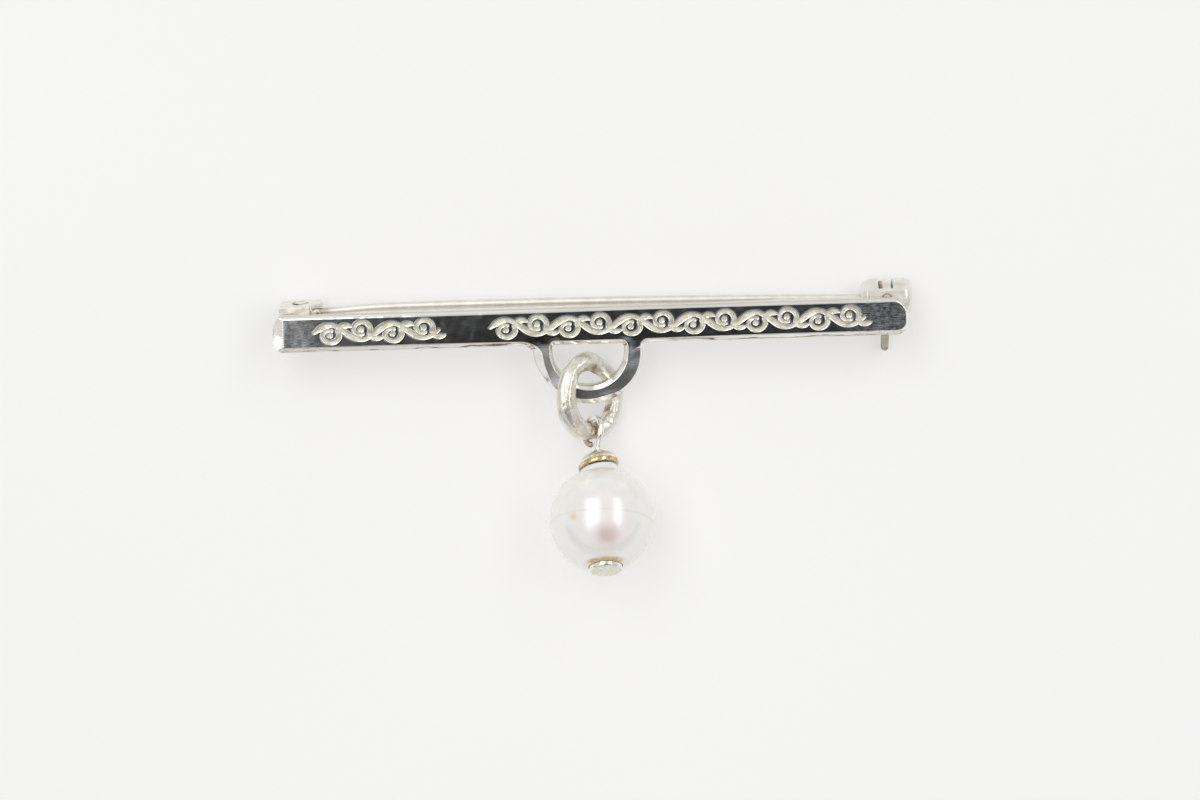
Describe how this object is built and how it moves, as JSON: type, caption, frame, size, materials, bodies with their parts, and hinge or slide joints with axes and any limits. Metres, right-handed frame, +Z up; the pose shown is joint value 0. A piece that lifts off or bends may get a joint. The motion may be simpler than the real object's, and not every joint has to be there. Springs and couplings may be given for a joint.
{
  "type": "bar brooch",
  "caption": "Slim silver bar brooch engraved with a leafy vine, with a loop, an open link and a pearl drop, a hinged pin and a rotating catch.",
  "frame": {"origin": "centre of the footprint, on the surface it lies on", "axes": "+X along the bar towards the catch, +Y from the drop to the bar, +Z up"},
  "size_m": [0.0504, 0.0231, 0.0083],
  "materials": {
    "polished_silver": "mirror polish on the face, frosted floors in the engraving",
    "whitened_silver": "satin, whitened by pickling",
    "cast_silver": "cast, finely pitted, tumbled",
    "drop_silver": "polished with a warm tarnish",
    "pearl": "nacre, soft gloss with a rosy overtone"
  },
  "bodies": {
    "root": {"bar": "polished_silver", "hinge_rivet": "whitened_silver", "link": "cast_silver", "head_pin": "drop_silver", "bead_cap": "drop_silver", "pearl": "pearl"},
    "pin": {"pin_stem": "whitened_silver"},
    "lever": {"catch_lever": "whitened_silver"}
  },
  "joints": [
    {"name": "pin_swing", "type": "hinge", "parent": "root", "child": "pin", "pos_m": [-0.02315, 0.01012, 0.00172], "axis": [0, 0.9613, 0.2756], "range_deg": [0, 95]},
    {"name": "lever_roll", "type": "hinge", "parent": "root", "child": "lever", "pos_m": [0.0232, 0.01008, 0.0015], "axis": [1, 0, 0], "range_deg": [0, 85]}
  ]
}
